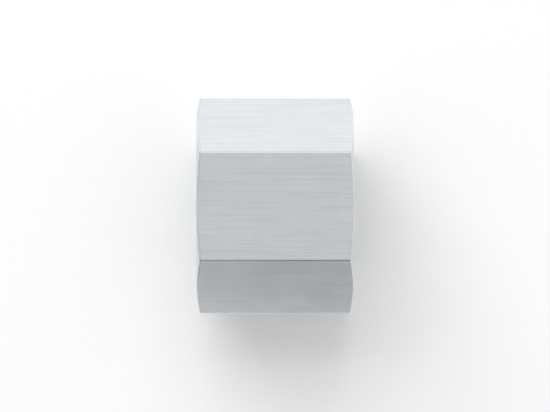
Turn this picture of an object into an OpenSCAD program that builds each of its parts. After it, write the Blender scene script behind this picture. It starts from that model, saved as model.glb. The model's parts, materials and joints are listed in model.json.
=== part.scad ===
// Tube nut, turned in one piece from hexagon steel bar. It slides over a tube, and its thread
// pulls the ferrule on that tube into a fitting. The nut lies on one of its flats, with its
// axis along X, its threaded mouth towards +X and its middle at the origin.

/* [Hexagon] */
// Width across the flats, 11/16 inch
across_flats = 17.46; // [16.8:0.01:24]
// Length of the nut along its axis
nut_length = 14.6; // [12:0.1:24]
// How far short of a sharp edge each corner of the bar is
corner_trim = 0.05; // [0.02:0.01:0.4]
// How far inside the flats the flat ring on each end stops
face_inset = 0.13; // [0.05:0.01:0.6]
// Slope of the chamfer on each end, in degrees from the end face
chamfer_angle = 11; // [5:1:40]

/* [Tube bore] */
// Outside diameter of the tube, 3/8 inch
tube_d = 9.525; // [6:0.025:10.5]
// Clearance between the tube and its bore, on the diameter
tube_clearance = 0.12; // [0.06:0.01:0.5]
// Length of the bore that guides the tube
tube_bore_length = 2.6; // [1:0.1:4.5]
// Broken edge where the tube enters the bore
edge_break = 0.2; // [0.05:0.05:0.6]

/* [Ferrule seat] */
// Slope of the seat that pushes on the ferrule, in degrees from the axis
seat_angle = 45; // [35:1:60]
// Width of the flat step round the wide end of the seat
seat_step = 0.3; // [0.1:0.05:0.6]
// Length of plain wall between the seat and the thread
relief_length = 1; // [0.6:0.1:3]

/* [Thread] */
// Major diameter of the thread, 9/16 inch
thread_d = 14.2875; // [13:0.0125:15]
// Threads per inch
threads_per_inch = 18; // [14:1:24]
// Depth of thread that the tapping drill leaves, in percent of a full thread
thread_percent = 75; // [60:1:80]
// Turns over which the thread runs out at its inner end
run_out_turns = 0.75; // [0.25:0.05:1.5]
// How far outside the thread the countersunk mouth opens, on the radius
mouth_clearance = 0.12; // [0.05:0.01:0.4]
// Slope of the countersunk mouth, in degrees from the axis
mouth_angle = 60; // [45:1:65]

/* [Hidden] */

inch = 25.4;
hex_sides = 6;
round_fn = 96;
cut_over = 1;

// Outside of the hexagon
sharp_corner_r = across_flats / 2 / cos(180 / hex_sides);
corner_r = sharp_corner_r - corner_trim;
face_r = across_flats / 2 - face_inset;
chamfer_depth = (corner_r - face_r) * tan(chamfer_angle);

// Form of the 60 degree thread, which is cut from a row of sharp V grooves
pitch = inch / threads_per_inch;
flank_angle = 30;
sharp_v_height = pitch / 2 / tan(flank_angle);
full_thread_depth = sharp_v_height * 3 / 4;
root_flat = pitch / 8;
thread_r = thread_d / 2;
drill_r = thread_r - full_thread_depth * thread_percent / 100;

// Stations along the bore, from the tube's end
bore_r = (tube_d + tube_clearance) / 2;
seat_wide_r = drill_r - seat_step;
seat_end = tube_bore_length + (seat_wide_r - bore_r) / tan(seat_angle);
thread_start = seat_end + relief_length;
mouth_r = thread_r + mouth_clearance;
mouth_start = nut_length - (mouth_r - drill_r) / tan(mouth_angle);

// The groove is swept as a row of four-cornered rings
ring_corners = 4;
rings_per_turn = 48;
groove_overlap = 0.15;
run_out_depth = 0.05;
groove_inner_r = drill_r - groove_overlap;
groove_rings = ceil((nut_length + pitch - thread_start) / pitch * rings_per_turn);
run_out_rings = run_out_turns * rings_per_turn;

// Radius of the groove's root at a ring, which is shallow where the thread runs out
function root_r(ring) = drill_r + run_out_depth
    + (thread_r - drill_r - run_out_depth) * min(1, ring / run_out_rings);

// Half the width of the groove at its open side, for the root radius there
function open_half_width(r) = root_flat / 2 + (r - groove_inner_r) * tan(flank_angle);

// A point on the helix at a ring, at a radius and an offset along the axis
function helix_point(ring, r, offset) = [
    r * cos(360 * ring / rings_per_turn),
    r * sin(360 * ring / rings_per_turn),
    thread_start + pitch * ring / rings_per_turn + offset
];

function groove_ring(ring, r) = [
    helix_point(ring, groove_inner_r, -open_half_width(r)),
    helix_point(ring, r, -root_flat / 2),
    helix_point(ring, r, root_flat / 2),
    helix_point(ring, groove_inner_r, open_half_width(r))
];

// The two triangles between one side of a ring and the same side of the next
function side_faces(ring, side) =
    let (
        a = ring * ring_corners + side,
        b = ring * ring_corners + (side + 1) % ring_corners
    )
    [[a, b, b + ring_corners], [a, b + ring_corners, a + ring_corners]];

// Helical groove that the tap cuts, from its run-out to past the mouth
module thread_groove() {
    last = groove_rings * ring_corners;
    polyhedron(
        points = [for (ring = [0 : groove_rings]) each groove_ring(ring, root_r(ring))],
        faces = [
            [0, 3, 2, 1],
            for (ring = [0 : groove_rings - 1], side = [0 : ring_corners - 1])
                each side_faces(ring, side),
            [last, last + 1, last + 2, last + 3]
        ]
    );
}

// Stepped bore: broken edge, tube bore, ferrule seat, drilled wall and countersunk mouth
module bore() {
    rotate_extrude($fn = round_fn)
        polygon([
            [0, -cut_over],
            [bore_r + edge_break + cut_over, -cut_over],
            [bore_r, edge_break],
            [bore_r, tube_bore_length],
            [seat_wide_r, seat_end],
            [drill_r, seat_end],
            [drill_r, mouth_start],
            [mouth_r + cut_over * tan(mouth_angle), nut_length + cut_over],
            [0, nut_length + cut_over]
        ]);
}

// Turned envelope that chamfers the ends of the bar and trims its corners
module turned_envelope() {
    rotate_extrude($fn = round_fn)
        polygon([
            [0, 0],
            [face_r, 0],
            [corner_r, chamfer_depth],
            [corner_r, nut_length - chamfer_depth],
            [face_r, nut_length],
            [0, nut_length]
        ]);
}

module hexagon_bar() {
    rotate([0, 0, 180 / hex_sides])
        cylinder(r = sharp_corner_r, h = nut_length, $fn = hex_sides);
}

// Lays the nut's axis along X, with its middle at the origin
module lying() {
    translate([-nut_length / 2, 0, 0])
        rotate([0, 90, 0])
            children();
}

module tube_nut() {
    color([0.76, 0.77, 0.78])
        lying()
            difference() {
                intersection() {
                    hexagon_bar();
                    turned_envelope();
                }
                bore();
                thread_groove();
            }
}

tube_nut();
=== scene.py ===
# %% [markdown]
# A tube nut slides over a tube, and its thread pulls the ferrule on that tube into a fitting. It is
# turned from hexagon bar in one piece, so it has six drawn flats, two turned ends, a plain bore for
# the tube, a cone that pushes on the ferrule, and a tapped thread. The engineering model gives its
# size and its place. This lesson makes the surface that the eye sees, gives it a finish and lights it.

# %% Load the engineering model
import itertools
import json
import math

import bmesh
import bpy
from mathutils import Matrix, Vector


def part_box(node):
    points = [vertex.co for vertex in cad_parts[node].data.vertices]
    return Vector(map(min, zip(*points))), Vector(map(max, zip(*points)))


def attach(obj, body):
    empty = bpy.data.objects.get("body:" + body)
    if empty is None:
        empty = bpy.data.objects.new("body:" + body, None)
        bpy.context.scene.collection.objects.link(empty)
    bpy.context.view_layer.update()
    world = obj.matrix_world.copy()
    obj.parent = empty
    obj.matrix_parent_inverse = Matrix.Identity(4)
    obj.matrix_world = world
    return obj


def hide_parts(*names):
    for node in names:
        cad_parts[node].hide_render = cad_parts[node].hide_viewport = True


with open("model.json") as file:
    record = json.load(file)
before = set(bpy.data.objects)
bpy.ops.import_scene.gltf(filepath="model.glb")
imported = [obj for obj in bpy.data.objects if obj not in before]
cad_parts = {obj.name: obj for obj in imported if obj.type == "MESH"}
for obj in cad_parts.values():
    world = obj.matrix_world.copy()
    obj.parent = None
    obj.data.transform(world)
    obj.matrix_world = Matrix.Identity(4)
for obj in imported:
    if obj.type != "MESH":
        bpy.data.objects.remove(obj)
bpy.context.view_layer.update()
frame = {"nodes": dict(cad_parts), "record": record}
print("engineering model loaded:", sorted(frame["nodes"]))

# %% [markdown]
# The model can tell its main sizes itself. Its box gives the length, the flats and the corners, and
# its mounts give the radius of both round walls. They could be typed in again, but a size that is read
# stays right when the model changes. The shape is worked out in millimetres, along the axis from the
# tube's end and outwards from the axis, and only the last step turns it into metres.

# %% Sizes from the model
MM = 0.001
INCH = 25.4
mounts = {mount["name"]: mount["dims"] for mount in frame["record"]["mounts"]}
box_low, box_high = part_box("tube_nut")
length = (box_high.x - box_low.x) / MM
flat_r = box_high.z / MM
corner_r = box_high.y / MM
bore_r = mounts["tube_bore"]["r_mm"]
drill_r = mounts["thread"]["r_mm"]
print(f"nut {length:.2f} mm long, {2 * flat_r:.2f} mm across its flats")

# %% [markdown]
# Drawn bar has no knife edges: the die leaves a small round on each corner. A six-sided cylinder with
# a Bevel modifier would give that too, but the ends are turned and need circles. So the hexagon is a
# radius that depends on the angle round the axis: straight along each flat, and an arc at each corner.
# The arc is worked out to reach just as far out as the model's own corner.

# %% Hexagon with round corners
SIDES = 6
half_side = math.pi / SIDES
sharp_r = flat_r / math.cos(half_side)
fillet_r = (sharp_r - corner_r) / (1 / math.cos(half_side) - 1)
fillet_centre = corner_r - fillet_r
flat_half_angle = math.atan((flat_r - fillet_r) * math.tan(half_side) / flat_r)


def from_flat(angle):
    """Angle from the middle of the nearest flat."""
    return (angle + half_side) % (2 * half_side) - half_side


def hexagon_r(angle):
    """Distance from the axis to the hexagon."""
    turned = abs(from_flat(angle))
    if turned <= flat_half_angle:
        return flat_r / math.cos(turned)
    off = half_side - turned
    sideways = fillet_centre * math.sin(off)
    return fillet_centre * math.cos(off) + math.sqrt(fillet_r**2 - sideways**2)


print(f"corners of the bar have a round of {fillet_r:.2f} mm")

# %% [markdown]
# The nut is built from many cuts along its axis, each at its own angle, which are joined up later. Even
# angles would waste cuts on the flats and spoil the corners. So they are close together across each
# small round, where the surface turns quickly, and further apart along the flats.

# %% Angles of the cuts
FLAT_STEPS = 24
FILLET_STEPS = 6
fillet_half_angle = half_side - flat_half_angle


def spaced(start, span, steps):
    """Angles in even steps, without the last one."""
    return [start + span * step / steps for step in range(steps)]


side_angles = spaced(0, flat_half_angle, FLAT_STEPS // 2)
side_angles += spaced(flat_half_angle, 2 * fillet_half_angle, FILLET_STEPS)
side_angles += spaced(half_side + fillet_half_angle, flat_half_angle, FLAT_STEPS // 2)
angles = [2 * half_side * side + angle for side in range(SIDES) for angle in side_angles]
angles.append(2 * math.pi)
print(len(angles) - 1, "cuts round the nut")

# %% [markdown]
# The tube's bore ends in a cone at 45 degrees, which pushes on the back of the ferrule. A narrow flat
# step lies round the wide end of the cone, where the drill for the thread stopped. After it comes a
# short plain wall, so that the tap has room to run out. These are the turner's own numbers.

# %% Bore and cone
edge_break = 0.2
tube_bore_length = 2.6
seat_step = 0.3
relief_length = 1.0
seat_wide_r = drill_r - seat_step
seat_end = tube_bore_length + seat_wide_r - bore_r
thread_start = seat_end + relief_length
print(f"cone ends {seat_end:.2f} mm from the tube's end, and the thread starts at {thread_start:.2f} mm")

# %% [markdown]
# A tap cuts one helical groove with sloping flanks, and the wall left between its turns is the crest.
# A Screw modifier could sweep the groove and a Boolean could cut it, but the cut edges are then hard to
# keep clean. In a cut along the axis the groove is simply a row of notches, which moves on by one pitch
# in each turn. Every cut has as many notches, so the cuts can be joined point by point. A notch that
# isn't needed at an angle has no depth, and its points are merged later.

# %% Groove of the thread
THREAD_INCHES = 9 / 16
THREADS_PER_INCH = 18
FLANK_ANGLE = 30
thread_r = THREAD_INCHES * INCH / 2
pitch = INCH / THREADS_PER_INCH
flank_slope = math.tan(math.radians(FLANK_ANGLE))
root_flat = pitch / 8
run_out_turns = 0.75
thread_turns = (length - thread_start) / pitch


def groove(turn):
    """Four corners of the groove after so many turns, shallow where the thread runs out."""
    centre = max(seat_end, thread_start + pitch * turn)
    depth = (thread_r - drill_r) * min(1, max(0, turn / run_out_turns))
    root_half = min(root_flat / 2, depth)
    open_half = root_half + depth * flank_slope
    return [
        (centre - open_half, drill_r),
        (centre - root_half, drill_r + depth),
        (centre + root_half, drill_r + depth),
        (centre + open_half, drill_r),
    ]


print(f"thread of {pitch:.3f} mm pitch, {thread_turns:.1f} turns")

# %% [markdown]
# The mouth of the thread is countersunk, so that the fitting's thread finds its way in. The cone of
# the countersink cuts across the last turns. A Boolean could do that as well, but the points have to
# stay in step from cut to cut. So a point of the wall that the cone takes away moves back to where the
# wall met the cone, and the edge of the cut is exact at every angle.

# %% Countersunk mouth
MOUTH_ANGLE = 60
mouth_clearance = 0.12
mouth_r = thread_r + mouth_clearance
mouth_slope = math.tan(math.radians(MOUTH_ANGLE))
mouth_start = length - (mouth_r - drill_r) / mouth_slope


def above_cone(point):
    """How far outside the countersink a point lies."""
    along, out = point
    return out - drill_r - (along - mouth_start) * mouth_slope


def between(a, b, share):
    return (a[0] + (b[0] - a[0]) * share, a[1] + (b[1] - a[1]) * share)


def countersunk(wall):
    """The wall's points, each followed by the place where its line crosses the cone, if it does."""
    kept = []
    for a, b in zip(wall, wall[1:] + wall[-1:]):
        height_a, height_b = above_cone(a), above_cone(b)
        last = a if height_a >= 0 else last
        kept.append(last)
        if height_a * height_b < 0:
            last = between(a, b, height_a / (height_a - height_b))
        kept.append(last)
    return kept


print(f"countersink from {2 * drill_r:.2f} mm to {2 * mouth_r:.2f} mm across")

# %% [markdown]
# Tumbling in the plating barrel takes the keen edge off every corner, and the thin round that is left
# catches the light as a bright line. A Bevel modifier would have to guess which edges to round. Each
# cut is a line of corners, so it is simpler to round the corners of that line.

# %% Rounded corners of a line
ROOM_FOR_ROUND = 1 / 3
crest_round = 0.03


def distance(a, b):
    return math.hypot(b[0] - a[0], b[1] - a[1])


def towards(a, b, reach):
    """The point at a distance from a, on the way to b."""
    gap = distance(a, b)
    return between(a, b, reach / gap) if gap > 0 else a


def corner_arc(before, corner, after, radius, steps):
    """Points of a round that touches both lines, with room left for the rounds at their other ends."""
    room = min(distance(corner, before), distance(corner, after)) * ROOM_FOR_ROUND
    start = towards(corner, before, min(radius, room))
    end = towards(corner, after, min(radius, room))
    arc = []
    for step in range(steps + 1):
        share = step / steps
        arc.append(between(between(start, corner, share), between(corner, end, share), share))
    return arc


print(f"thread crests and roots are rounded to {crest_round} mm")

# %% [markdown]
# The outer edges rub on other nuts, so the plate is brightest there. That could be found in the
# material from the surface's curve, but it then depends on how fine the mesh is. Here each point simply
# carries a number for its wear: 1 on a round, and 0 at a point that is added close to each side of it.

# %% Rounded edges that show wear
EDGE_STEPS = 3
ROOM_FOR_WEAR = 0.45
edge_round = 0.09
wear_reach = 0.1


def worn_edge(before, corner, after):
    """A corner's round with a point on each side of it, each point with its wear."""
    arc = corner_arc(before, corner, after, edge_round, EDGE_STEPS)
    room = min(distance(corner, before), distance(corner, after)) * ROOM_FOR_WEAR
    reach = min(edge_round + wear_reach, room)
    first = towards(corner, before, reach)
    last = towards(corner, after, reach)
    return [(first, 0.0)] + [(point, 1.0) for point in arc] + [(last, 0.0)]


print(f"outer edges are rounded to {edge_round} mm")

# %% [markdown]
# At each angle the whole nut is one closed line: through the thread, over the mouth, out across the
# end, along the hexagon, in across the other end, and back through the tube's bore and the cone. The
# chamfer on both ends is a cone too, so it bites deepest at the corners, and on each flat it leaves the
# arc that every nut shows. Each stretch knows how it was made, because a die, a tool across the end and
# a tool along the bore leave different marks.

# %% Corners of a cut
DRAWN, TURNED, BORED = range(3)
CHAMFER_ANGLE = 11
face_inset = 0.13
face_r = flat_r - face_inset
chamfer_slope = math.tan(math.radians(CHAMFER_ANGLE))


def outside_corners(angle):
    """Corners from the mouth round the outside to the cone, each with how the next stretch is made."""
    hexagon = hexagon_r(angle)
    chamfer = (hexagon - face_r) * chamfer_slope
    return [
        ((length, mouth_r), TURNED),
        ((length, face_r), TURNED),
        ((length - chamfer, hexagon), DRAWN),
        ((chamfer, hexagon), TURNED),
        ((0, face_r), TURNED),
        ((0, bore_r + edge_break), TURNED),
        ((edge_break, bore_r), BORED),
        ((tube_bore_length, bore_r), BORED),
        ((seat_end, seat_wide_r), BORED),
    ]


print(len(outside_corners(0)), "corners outside the thread")

# %% [markdown]
# The thread's wall is made the same way, from the corners of its grooves. Its last flank runs almost
# along the countersink, so a narrow band beside the cone counts as turned as well. Otherwise the finish
# would change along a ragged line there.

# %% Wall of the thread
CREST_STEPS = 2
cone_band = 0.05
last_turn = math.ceil(thread_turns)


def thread_wall(angle):
    """Points from the cone's step to the mouth."""
    corners = [(seat_end, drill_r)]
    for turn in range(-1, last_turn + 1):
        corners += groove(turn + angle / (2 * math.pi))
    wall = [corners[0]]
    for before, corner, after in zip(corners, corners[1:], corners[2:]):
        wall += corner_arc(before, corner, after, crest_round, CREST_STEPS)
    return countersunk(wall + [corners[-1]])


def made_by(point):
    return TURNED if above_cone(point) < cone_band else BORED


print(len(thread_wall(0)), "points in the wall of the thread")

# %% [markdown]
# The closed line puts both together. The corners of the bar rub most of all, so the points on their
# rounds are worn along the whole length of the nut.

# %% Closed line of a cut


def cut_line(angle):
    """Points of the line, each with its wear and with how the next stretch is made."""
    wall = thread_wall(angle)
    line = [(point, 0.0, made_by(point)) for point in wall]
    corners = outside_corners(angle)
    path = [wall[-1]] + [corner for corner, made in corners] + [wall[0]]
    on_bar_corner = abs(from_flat(angle)) > flat_half_angle
    hexagon_from = hexagon_r(angle) - edge_round * chamfer_slope
    for before, (corner, made), after in zip(path, corners, path[2:]):
        for point, wear in worn_edge(before, corner, after):
            rubbed = on_bar_corner and point[1] > hexagon_from
            line.append((point, 1.0 if rubbed else wear, made))
    line.append((wall[0], 0.0, BORED))
    return line


print(len(cut_line(0)), "points in each cut")

# %% [markdown]
# A finish that is made of nodes can be baked into a picture, for programs that know only pictures. Each
# face then needs a place of its own on a flat map. Smart UV Project could find one, but it cuts the
# thread into many small pieces, and the cuts show. The closed lines, side by side, make a sheet already:
# the angle goes across it, and the way along the line goes up it. So it is laid out as it is. Its only
# seams are under the nut and beside the cone.

# %% Flat map


def flat_spots(line, angle):
    """Where each point of a cut lies on the map, from 0 to 1 both across and up."""
    points = [point for point, wear, made in line]
    steps = [distance(a, b) for a, b in zip(points, points[1:])]
    ways = list(itertools.accumulate(steps, initial=0.0))
    return [(angle / (2 * math.pi), way / ways[-1]) for way in ways]


print("last spot of the first cut is", flat_spots(cut_line(0), 0)[-1])

# %% [markdown]
# Now each cut takes its place round the axis. It could be a curve of its own, but points of one mesh are
# lighter, and each of them can carry its wear as an attribute.

# %% Points of all cuts


def place(point, angle):
    """A point of a cut in metres: the axis lies along X, and the flat at angle 0 lies on the bench."""
    along, out = point
    return (
        (along - length / 2) * MM,
        out * math.sin(angle) * MM,
        -out * math.cos(angle) * MM,
    )


net = bmesh.new()
wear_layer = net.verts.layers.float.new("edge_wear")
rows = []
for angle in angles:
    line = cut_line(angle)
    row = []
    for (point, wear, made), spot in zip(line, flat_spots(line, angle)):
        vertex = net.verts.new(place(point, angle))
        vertex[wear_layer] = wear
        row.append((vertex, made, spot))
    rows.append(row)
print(len(net.verts), "points before merging")

# %% [markdown]
# Neighbouring cuts are joined by four-sided faces, which makes a net. Bridge Edge Loops could join them
# pair by pair, but every cut has as many points, so two loops of code do it. A face keeps how its
# stretch was made as the number of its material, and each of its corners keeps a spot on the flat map.

# %% Net of faces
MAP_NAME = "OFBake"
flat_map = net.loops.layers.uv.new(MAP_NAME)
for row, next_row in zip(rows, rows[1:]):
    for corners in zip(row, row[1:], next_row[1:], next_row):
        vertices, made, spots = zip(*corners)
        face = net.faces.new(vertices)
        face.material_index = made[0]
        face.smooth = True
        for loop, spot in zip(face.loops, spots):
            loop[flat_map].uv = spot
print(len(net.faces), "faces before merging")

# %% [markdown]
# The last cut, after a full turn, lies on the first one with its grooves moved on by one. Merging by
# distance closes the net there, and it takes out the points that fell together. A count of open edges
# shows whether the surface is closed, as a solid nut's has to be.

# %% Merge into one closed surface
MERGE_DISTANCE = 1e-7
bmesh.ops.remove_doubles(net, verts=net.verts, dist=MERGE_DISTANCE)
bmesh.ops.dissolve_degenerate(net, edges=net.edges, dist=MERGE_DISTANCE)
bmesh.ops.recalc_face_normals(net, faces=net.faces)
open_edges = sum(1 for edge in net.edges if len(edge.link_faces) != 2)
print(f"{len(net.faces)} faces, {open_edges} open edges, {net.calc_volume() / MM**3:.0f} cubic mm")

# %% [markdown]
# Turned and drawn faces are flat right up to their rounded edges. Plain smooth shading would bend the
# light across them. So faces that meet at a clear angle keep a crisp edge, and a Weighted Normal
# modifier lets the big faces decide how the small ones beside them are shaded.

# %% Nut in its place
CRISP_ANGLE = 32
mesh = bpy.data.meshes.new("tube_nut_surface")
net.to_mesh(mesh)
net.free()
mesh.set_sharp_from_angle(angle=math.radians(CRISP_ANGLE))
nut = bpy.data.objects.new("plated_tube_nut", mesh)
bpy.context.scene.collection.objects.link(nut)
weighted = nut.modifiers.new("flat faces stay flat", "WEIGHTED_NORMAL")
weighted.keep_sharp = True
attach(nut, "root")
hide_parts("tube_nut")
print(nut.name, "stands for the engineering model's node")

# %% [markdown]
# Colours are written as hex values, as a paint chart gives them, and one function turns them into the
# linear values that the renderer counts in. A material is a tree of nodes. They could be placed by hand
# in the shader editor, but a script can be read and repeated, so one small function adds a node with
# its settings and links.

# %% Colour and node helpers


def to_linear(hex_colour):
    """sRGB hex value to linear red, green, blue and alpha."""
    shares = [int(hex_colour[i : i + 2], 16) / 255 for i in (1, 3, 5)]
    linear = [s / 12.92 if s <= 0.04045 else ((s + 0.055) / 1.055) ** 2.4 for s in shares]
    return (*linear, 1.0)


def add_node(tree, kind, inputs=None, **settings):
    """Adds a node. An input that is a socket is linked, and any other input is a value."""
    node = tree.nodes.new(kind)
    for name, value in settings.items():
        setattr(node, name, value)
    for name, value in (inputs or {}).items():
        if isinstance(value, bpy.types.NodeSocket):
            tree.links.new(value, node.inputs[name])
        else:
            node.inputs[name].default_value = value
    return node


def new_material(name):
    material = bpy.data.materials.new(name)
    material.use_nodes = True
    material.node_tree.nodes.clear()
    return material, material.node_tree


print("helpers ready, mid grey is", round(to_linear("#808080")[0], 3))

# %% [markdown]
# The nut is mild steel with bright zinc plate and a clear passivate. Out of the barrel the plate is a
# little uneven: it goes from clear to slightly milky over a few millimetres, and the milky places are
# rougher. A painted mask could show that, but noise needs no picture and has no seam. It is stretched
# so that both ends are reached, and its size is a real one, in millimetres.

# %% Clouds in the plate
CLEAR_BELOW = 0.35
MILKY_ABOVE = 0.65
cloud_size = 3.0


def per_metre(size_mm):
    """Pattern scale that gives features of about this size."""
    return 1 / (size_mm * MM)


def clouds(tree, spot):
    """0 where the plate is clear, 1 where it is milky."""
    noise = add_node(tree, "ShaderNodeTexNoise", {
        "Vector": spot, "Scale": per_metre(cloud_size), "Detail": 3.0, "Roughness": 0.55})
    patches = add_node(tree, "ShaderNodeMapRange", {
        "Value": noise.outputs["Fac"], "From Min": CLEAR_BELOW, "From Max": MILKY_ABOVE})
    return patches.outputs["Result"]


print("clouds of", cloud_size, "mm")

# %% [markdown]
# Rubbing brightens the edges, more in some places than in others. The points of the mesh carry the
# wear, and an Attribute node reads it. Noise then takes up to half of it away in patches, so that the
# bright line isn't even, as it would be if it were drawn.

# %% Rubbed edges
LEAST_RUBBED = 0.5
LEAST_BELOW = 0.3
MOST_ABOVE = 0.7
rub_size = 1.2


def rubbing(tree, spot):
    """From 0 on open faces to 1 where an edge is rubbed most."""
    wear = add_node(tree, "ShaderNodeAttribute", attribute_name="edge_wear")
    noise = add_node(tree, "ShaderNodeTexNoise", {
        "Vector": spot, "Scale": per_metre(rub_size), "Detail": 2.0})
    uneven = add_node(tree, "ShaderNodeMapRange", {
        "Value": noise.outputs["Fac"], "From Min": LEAST_BELOW, "From Max": MOST_ABOVE,
        "To Min": LEAST_RUBBED})
    rubbed = add_node(tree, "ShaderNodeMath", {
        0: wear.outputs["Fac"], 1: uneven.outputs["Result"]}, operation="MULTIPLY")
    return rubbed.outputs["Value"]


print("rubbed patches of", rub_size, "mm")

# %% [markdown]
# Zinc is a pale, slightly blue metal. Three things change its colour: the clouds, a painted shade in the
# valleys of the tool marks under the plate, and the rubbing. Three Mix nodes in a row put them on top of
# each other, in the order in which they come about on the real nut.

# %% Colour of the plate
# The valley colour and its share are painted shade: the valleys of the marks are darkened as if less
# light reached them.
VALLEY_SHADE_COLOUR = "#B4BAC0"
VALLEY_SHADE_SHARE = 0.3
VALLEY_EDGE = 0.55
VALLEY_FLOOR = 0.25
RUBBED_COLOUR = "#E4E8EB"


def plate_colour(tree, cloudy, marks, rubbed, clear, milky):
    """Colour from the clouds, a painted shade in the marks' valleys and the rubbing, between a clear and
    a milky shade.
    """
    plate = add_node(tree, "ShaderNodeMix", {
        "Factor": cloudy, "A": to_linear(clear), "B": to_linear(milky)}, data_type="RGBA")
    valley_shade = add_node(tree, "ShaderNodeMapRange", {
        "Value": marks, "From Min": VALLEY_EDGE, "From Max": VALLEY_FLOOR, "To Max": VALLEY_SHADE_SHARE})
    valley_shaded = add_node(tree, "ShaderNodeMix", {
        "Factor": valley_shade.outputs["Result"], "A": plate.outputs["Result"],
        "B": to_linear(VALLEY_SHADE_COLOUR)}, data_type="RGBA")
    shown = add_node(tree, "ShaderNodeMix", {
        "Factor": rubbed, "A": valley_shaded.outputs["Result"],
        "B": to_linear(RUBBED_COLOUR)}, data_type="RGBA")
    return shown.outputs["Result"]


print("plate goes to", VALLEY_SHADE_COLOUR, "in marks and to", RUBBED_COLOUR, "on rubbed edges")

# %% [markdown]
# Bright plate on tooled steel is satin: it mirrors the light and dark of a room, but no outlines. A
# roughness of about a quarter gives that. Milky places and marks are rougher, and rubbed edges are
# smoother. One number for the whole surface would look like plastic film.

# %% Roughness of the plate
MARK_ROUGHNESS = 0.1
RUBBED_ROUGHNESS = 0.18


def plate_roughness(tree, cloudy, marks, rubbed, satin):
    """Roughness from the same three causes. The satin pair is for clear and for milky plate."""
    soft = add_node(tree, "ShaderNodeMapRange", {
        "Value": cloudy, "To Min": satin[0], "To Max": satin[1]})
    marked = add_node(tree, "ShaderNodeMath", {
        0: marks, 1: MARK_ROUGHNESS, 2: soft.outputs["Result"]}, operation="MULTIPLY_ADD")
    worn = add_node(tree, "ShaderNodeMix", {
        "Factor": rubbed, "A": marked.outputs["Value"], "B": RUBBED_ROUGHNESS}, data_type="FLOAT")
    return worn.outputs["Result"]


print("roughness falls to", RUBBED_ROUGHNESS, "on rubbed edges")

# %% [markdown]
# The marks are also a relief. They are far too shallow to be worth any geometry, so a Bump node tilts
# the light instead, by a real height in millimetres. The plate itself has a fine grain of zinc
# crystals. The real grain is some thousandths of a millimetre wide, and it is drawn coarser, to show.

# %% Relief of the plate
grain_size = 0.18
grain_height = 0.003


def plate_relief(tree, spot, marks, mark_height):
    """Normal with the tool marks, and with the plate's grain on top of them."""
    tooled = add_node(tree, "ShaderNodeBump", {
        "Height": marks, "Strength": 1.0, "Distance": mark_height * MM})
    grain = add_node(tree, "ShaderNodeTexNoise", {
        "Vector": spot, "Scale": per_metre(grain_size), "Detail": 2.0})
    grained = add_node(tree, "ShaderNodeBump", {
        "Height": grain.outputs["Fac"], "Strength": 1.0, "Distance": grain_height * MM,
        "Normal": tooled.outputs["Normal"]})
    return grained.outputs["Normal"]


print("grain of", grain_size, "mm")

# %% [markdown]
# The flats, the ends and the bore have the same plate and differ only in the marks under it. So one
# function makes the zinc plate, and it is told which marks to use. Metallic is 1, and the index of
# refraction stays as it is, because a metal's colour already says how it reflects.

# %% Zinc plate over any tool marks


def zinc_plate(name, tool_marks, mark_height, clear, milky, satin):
    material, tree = new_material(name)
    spot = add_node(tree, "ShaderNodeTexCoord").outputs["Object"]
    marks = tool_marks(tree, spot)
    cloudy = clouds(tree, spot)
    rubbed = rubbing(tree, spot)
    plate = add_node(tree, "ShaderNodeBsdfPrincipled", {
        "Base Color": plate_colour(tree, cloudy, marks, rubbed, clear, milky),
        "Metallic": 1.0,
        "Roughness": plate_roughness(tree, cloudy, marks, rubbed, satin),
        "Normal": plate_relief(tree, spot, marks, mark_height)})
    add_node(tree, "ShaderNodeOutputMaterial", {"Surface": plate.outputs["BSDF"]})
    return material


print("zinc plate can be made")

# %% [markdown]
# Hexagon bar is pulled through a die, which leaves long fine lines along the bar. They give the flats
# a brushed look, with a sheen that runs across the lines. Noise that is stretched along the axis makes
# them. The real ones are hundredths of a millimetre wide, so they are drawn wider here, to show.

# %% Drawn flats
die_line_width = 0.14
die_line_length = 9.0


def die_lines(tree, spot):
    across = per_metre(die_line_width)
    stretched = add_node(tree, "ShaderNodeMapping", {
        "Vector": spot, "Scale": (per_metre(die_line_length), across, across)})
    lines = add_node(tree, "ShaderNodeTexNoise", {
        "Vector": stretched.outputs["Vector"], "Scale": 1.0, "Detail": 4.0, "Roughness": 0.6})
    return lines.outputs["Fac"]


drawn_plate = zinc_plate(
    "zinc plate on drawn bar", die_lines, mark_height=0.012,
    clear="#E3E8EC", milky="#EAEDEF", satin=(0.24, 0.3))
print("made", drawn_plate.name)

# %% [markdown]
# Across the ends the lathe tool leaves rings round the axis, about a tenth of a millimetre apart. They
# give the ends a faint gloss that turns with the light, and leave them a little darker than the flats.
# A Wave texture makes even rings, which look printed. So the rings are noise along one line, the
# distance from the axis.

# %% Turned ends
end_feed = 0.11


def end_rings(tree, spot):
    off_axis = add_node(tree, "ShaderNodeVectorMath", {0: spot, 1: (0, 1, 1)}, operation="MULTIPLY")
    distance_out = add_node(tree, "ShaderNodeVectorMath", {
        0: off_axis.outputs["Vector"]}, operation="LENGTH")
    rings = add_node(tree, "ShaderNodeTexNoise", {
        "W": distance_out.outputs["Value"], "Scale": per_metre(end_feed), "Detail": 2.0,
        "Roughness": 0.6}, noise_dimensions="1D")
    return rings.outputs["Fac"]


turned_plate = zinc_plate(
    "zinc plate on turned ends", end_rings, mark_height=0.005,
    clear="#CDD3D8", milky="#D6DADD", satin=(0.22, 0.28))
print("made", turned_plate.name)

# %% [markdown]
# In the bore the tool and the tap move along the axis, so their rings follow each other along it. Plate
# is thinner inside a hole, where the current hardly reaches, so the walls are a little greyer and
# rougher than the flats. The noise is the same, with the place along the axis as its line.

# %% Bored walls
bore_feed = 0.12


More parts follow.
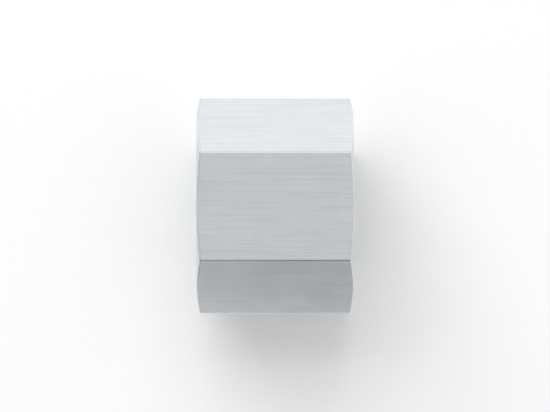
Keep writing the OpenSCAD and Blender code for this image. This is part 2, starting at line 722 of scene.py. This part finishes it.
def bore_rings(tree, spot):
    along = add_node(tree, "ShaderNodeSeparateXYZ", {"Vector": spot})
    rings = add_node(tree, "ShaderNodeTexNoise", {
        "W": along.outputs["X"], "Scale": per_metre(bore_feed), "Detail": 2.0,
        "Roughness": 0.6}, noise_dimensions="1D")
    return rings.outputs["Fac"]


bored_plate = zinc_plate(
    "zinc plate in the bore", bore_rings, mark_height=0.004,
    clear="#DBE1E5", milky="#E4E8EA", satin=(0.26, 0.34))
for finish in (drawn_plate, turned_plate, bored_plate):
    mesh.materials.append(finish)
print("the nut has", len(mesh.materials), "finishes")

# %% [markdown]
# A bench carries the nut. It isn't part of the nut. A curved paper sweep is the usual floor for small
# things, but from straight above a plane looks the same. It is large enough that its far edge stays out
# of sight when the nut is seen from the side.

# %% Bench
BENCH_SIZE = 6.0
bpy.ops.mesh.primitive_plane_add(size=BENCH_SIZE, location=(0, 0, box_low.z))
bench = bpy.context.object
bench.name = "bench"
print("bench at", round(box_low.z / MM, 2), "mm")

# %% [markdown]
# The bench has a matt white laminate: a printed sheet under a dull resin. It gives the eye an even white
# with a hardly visible speckle. A plain white colour would do from afar, but close by it looks empty.
# So two whites are mixed by noise.

# %% White of the laminate
SPECKLE_COLOUR = "#F1F1F1"
SHEET_COLOUR = "#F5F5F5"
speckle_size = 0.8
laminate, tree = new_material("matt white laminate")
bench_spot = add_node(tree, "ShaderNodeTexCoord").outputs["Object"]
speckle = add_node(tree, "ShaderNodeTexNoise", {
    "Vector": bench_spot, "Scale": per_metre(speckle_size), "Detail": 3.0})
white = add_node(tree, "ShaderNodeMix", {
    "Factor": speckle.outputs["Fac"], "A": to_linear(SPECKLE_COLOUR),
    "B": to_linear(SHEET_COLOUR)}, data_type="RGBA")
print("speckles of", speckle_size, "mm")

# %% [markdown]
# The laminate should be as white as paper. More lamps would make it so, but they would bleach the nut
# too. So the bench glows a little, but only as it is seen: by the camera, in metal or through glass. They
# all show the same white then, and the shadow on the bench stays.

# %% Laminate that glows a little
PAPER_LIFT = 0.115
LAMINATE_ROUGHNESS = 0.9
LAMINATE_GLOSS = 0.2
ray = add_node(tree, "ShaderNodeLightPath")
by_way_of = add_node(tree, "ShaderNodeMath", {
    0: ray.outputs["Is Glossy Ray"], 1: ray.outputs["Is Transmission Ray"]}, operation="MAXIMUM")
seen = add_node(tree, "ShaderNodeMath", {
    0: ray.outputs["Is Camera Ray"], 1: by_way_of.outputs["Value"]}, operation="MAXIMUM")
lift = add_node(tree, "ShaderNodeMath", {
    0: seen.outputs["Value"], 1: PAPER_LIFT}, operation="MULTIPLY")
matt = add_node(tree, "ShaderNodeBsdfPrincipled", {
    "Base Color": white.outputs["Result"], "Roughness": LAMINATE_ROUGHNESS,
    "Specular IOR Level": LAMINATE_GLOSS, "Emission Color": to_linear("#FFFFFF"),
    "Emission Strength": lift.outputs["Value"]})
add_node(tree, "ShaderNodeOutputMaterial", {"Surface": matt.outputs["BSDF"]})
bench.data.materials.append(laminate)
print("made", laminate.name)

# %% [markdown]
# Seen from above, the flat in front mirrors the bench before it, which is nearly as light as the bench
# behind the nut. So the flats would look alike. A photographer would stand a grey card there, just
# outside the picture, for the flat to mirror instead. Here the metal alone sees the card. It doesn't
# stand in the way of a view from the front, and it keeps no light from the bench.

# %% Grey card
card_gap = 24.0
card_width = 60.0
card_height = 16.0
card_y = -card_gap * MM
card_end = card_width / 2 * MM
card_top = box_low.z + card_height * MM
card_corners = [
    (-card_end, card_y, box_low.z),
    (card_end, card_y, box_low.z),
    (card_end, card_y, card_top),
    (-card_end, card_y, card_top),
]
card_mesh = bpy.data.meshes.new("grey_card")
card_mesh.from_pydata(card_corners, [], [(0, 1, 2, 3)])
card = bpy.data.objects.new("grey_card", card_mesh)
card.visible_camera = False
card.visible_diffuse = False
card.visible_transmission = False
card.visible_shadow = False
bpy.context.scene.collection.objects.link(card)
print(f"card {card_gap} mm in front of the axis")

# %% [markdown]
# The card is matt board in one even grey. It could have a grain, but satin metal blurs what it mirrors,
# so nothing of the grain would be left. All that shows is how light the card is.

# %% Grey of the card
CARD_COLOUR = "#B5B5B5"
CARD_ROUGHNESS = 0.9
grey, tree = new_material("matt grey board")
board = add_node(tree, "ShaderNodeBsdfPrincipled", {
    "Base Color": to_linear(CARD_COLOUR), "Roughness": CARD_ROUGHNESS})
add_node(tree, "ShaderNodeOutputMaterial", {"Surface": board.outputs["BSDF"]})
card_mesh.materials.append(grey)
print("made", grey.name)

# %% [markdown]
# Metal has hardly a shade of its own: it shows what stands round it. In an even white room a nut looks
# like porcelain. So the room is a tent with a light wall behind the nut, a darker wall in front and a
# grey roof. Every flat then mirrors another shade, and the nut keeps its form from any side. Cards and
# lamps could make the tent, but the world can do it alone, with a shade that depends on the direction.

# %% Tent
ROOF = 0.855
LIGHT_WALL = 0.85
DARK_WALL = 0.22
WALL_REACH = 0.8
WALLS_BELOW = 0.35
ROOF_ABOVE = 0.85
world = bpy.data.worlds.new("tent")
bpy.context.scene.world = world
world.use_nodes = True
tree = world.node_tree
tree.nodes.clear()
direction = add_node(tree, "ShaderNodeTexCoord").outputs["Generated"]
parts = add_node(tree, "ShaderNodeSeparateXYZ", {"Vector": direction})
walls = add_node(tree, "ShaderNodeMapRange", {
    "Value": parts.outputs["Y"], "From Min": -WALL_REACH, "From Max": WALL_REACH,
    "To Min": DARK_WALL, "To Max": LIGHT_WALL})
height = add_node(tree, "ShaderNodeMapRange", {
    "Value": parts.outputs["Z"], "From Min": WALLS_BELOW, "From Max": ROOF_ABOVE,
}, interpolation_type="SMOOTHSTEP")
shade = add_node(tree, "ShaderNodeMix", {
    "Factor": height.outputs["Result"], "A": walls.outputs["Result"], "B": ROOF}, data_type="FLOAT")
print("tent from", DARK_WALL, "in front to", LIGHT_WALL, "behind")

# %% [markdown]
# The lamp stands outside the tent, behind the nut, so the cloth is brightest there. A picture of a real
# tent could show that. Here the cloth is simply brighter the nearer a direction comes to the lamp's own,
# which the dot product of both tells.

# %% Glow in the tent
GLOW = 0.45
GLOW_FROM = 0.8
GLOW_FULL = 0.97
lamp_place = Vector((-0.16, 0.5, 0.45))
facing = add_node(tree, "ShaderNodeVectorMath", {
    0: direction, 1: lamp_place.normalized()}, operation="DOT_PRODUCT")
glow = add_node(tree, "ShaderNodeMapRange", {
    "Value": facing.outputs["Value"], "From Min": GLOW_FROM, "From Max": GLOW_FULL, "To Max": GLOW,
}, interpolation_type="SMOOTHSTEP")
bright = add_node(tree, "ShaderNodeMath", {
    0: shade.outputs["Result"], 1: glow.outputs["Result"]}, operation="ADD")
cloth = add_node(tree, "ShaderNodeBackground", {"Strength": bright.outputs["Value"]})
add_node(tree, "ShaderNodeOutputWorld", {"Surface": cloth.outputs["Background"]})
print("cloth is", GLOW, "brighter where the lamp stands behind it")

# %% [markdown]
# The lamp itself is a soft box. It gives the bench its light and the nut its shadow. A small lamp would
# draw a hard shadow, like a torch. A flat that mirrored the lamp would be bleached, so the metal doesn't
# see it, only the softer glow in the cloth.

# %% Soft box
LAMP_SIZE = 0.7
LAMP_WATTS = 3.3
lamp_data = bpy.data.lights.new("soft box", "AREA")
lamp_data.size = LAMP_SIZE
lamp_data.energy = LAMP_WATTS
lamp = bpy.data.objects.new("soft_box", lamp_data)
lamp.location = lamp_place
lamp.rotation_euler = (-lamp_place).to_track_quat("-Z", "Y").to_euler()
lamp.visible_camera = False
lamp.visible_glossy = False
bpy.context.scene.collection.objects.link(lamp)
print(f"soft box {lamp_place.length:.2f} m away")

# %% [markdown]
# The picture looks square at one flat with the axis level, as a drawing does. The nut lies on a flat,
# so that is the view from straight above. An orthographic camera would be a drawing's own, but a very
# long lens shows the same and stays a camera. Its height is worked out so that the nut fills as many
# pixels as it does in the picture.

# %% Camera above the nut
PICTURE_WIDTH_PX = 550
NUT_LENGTH_PX = 156.6
SENSOR = 36.0
LENS = 900.0
picture_width = PICTURE_WIDTH_PX * length / NUT_LENGTH_PX * MM
camera_data = bpy.data.cameras.new("long lens")
camera_data.sensor_width = SENSOR
camera_data.lens = LENS
camera = bpy.data.objects.new("camera", camera_data)
camera.location = (0, 0, picture_width * LENS / SENSOR)
bpy.context.scene.collection.objects.link(camera)
bpy.context.scene.camera = camera
bpy.context.scene.view_settings.view_transform = "Standard"
print(f"camera {camera.location.z:.2f} m above the axis")

# %% [markdown]
# The finished nut has to fill the same box as the engineering model, because others fit things to it.

# %% Finish
bpy.context.view_layer.update()
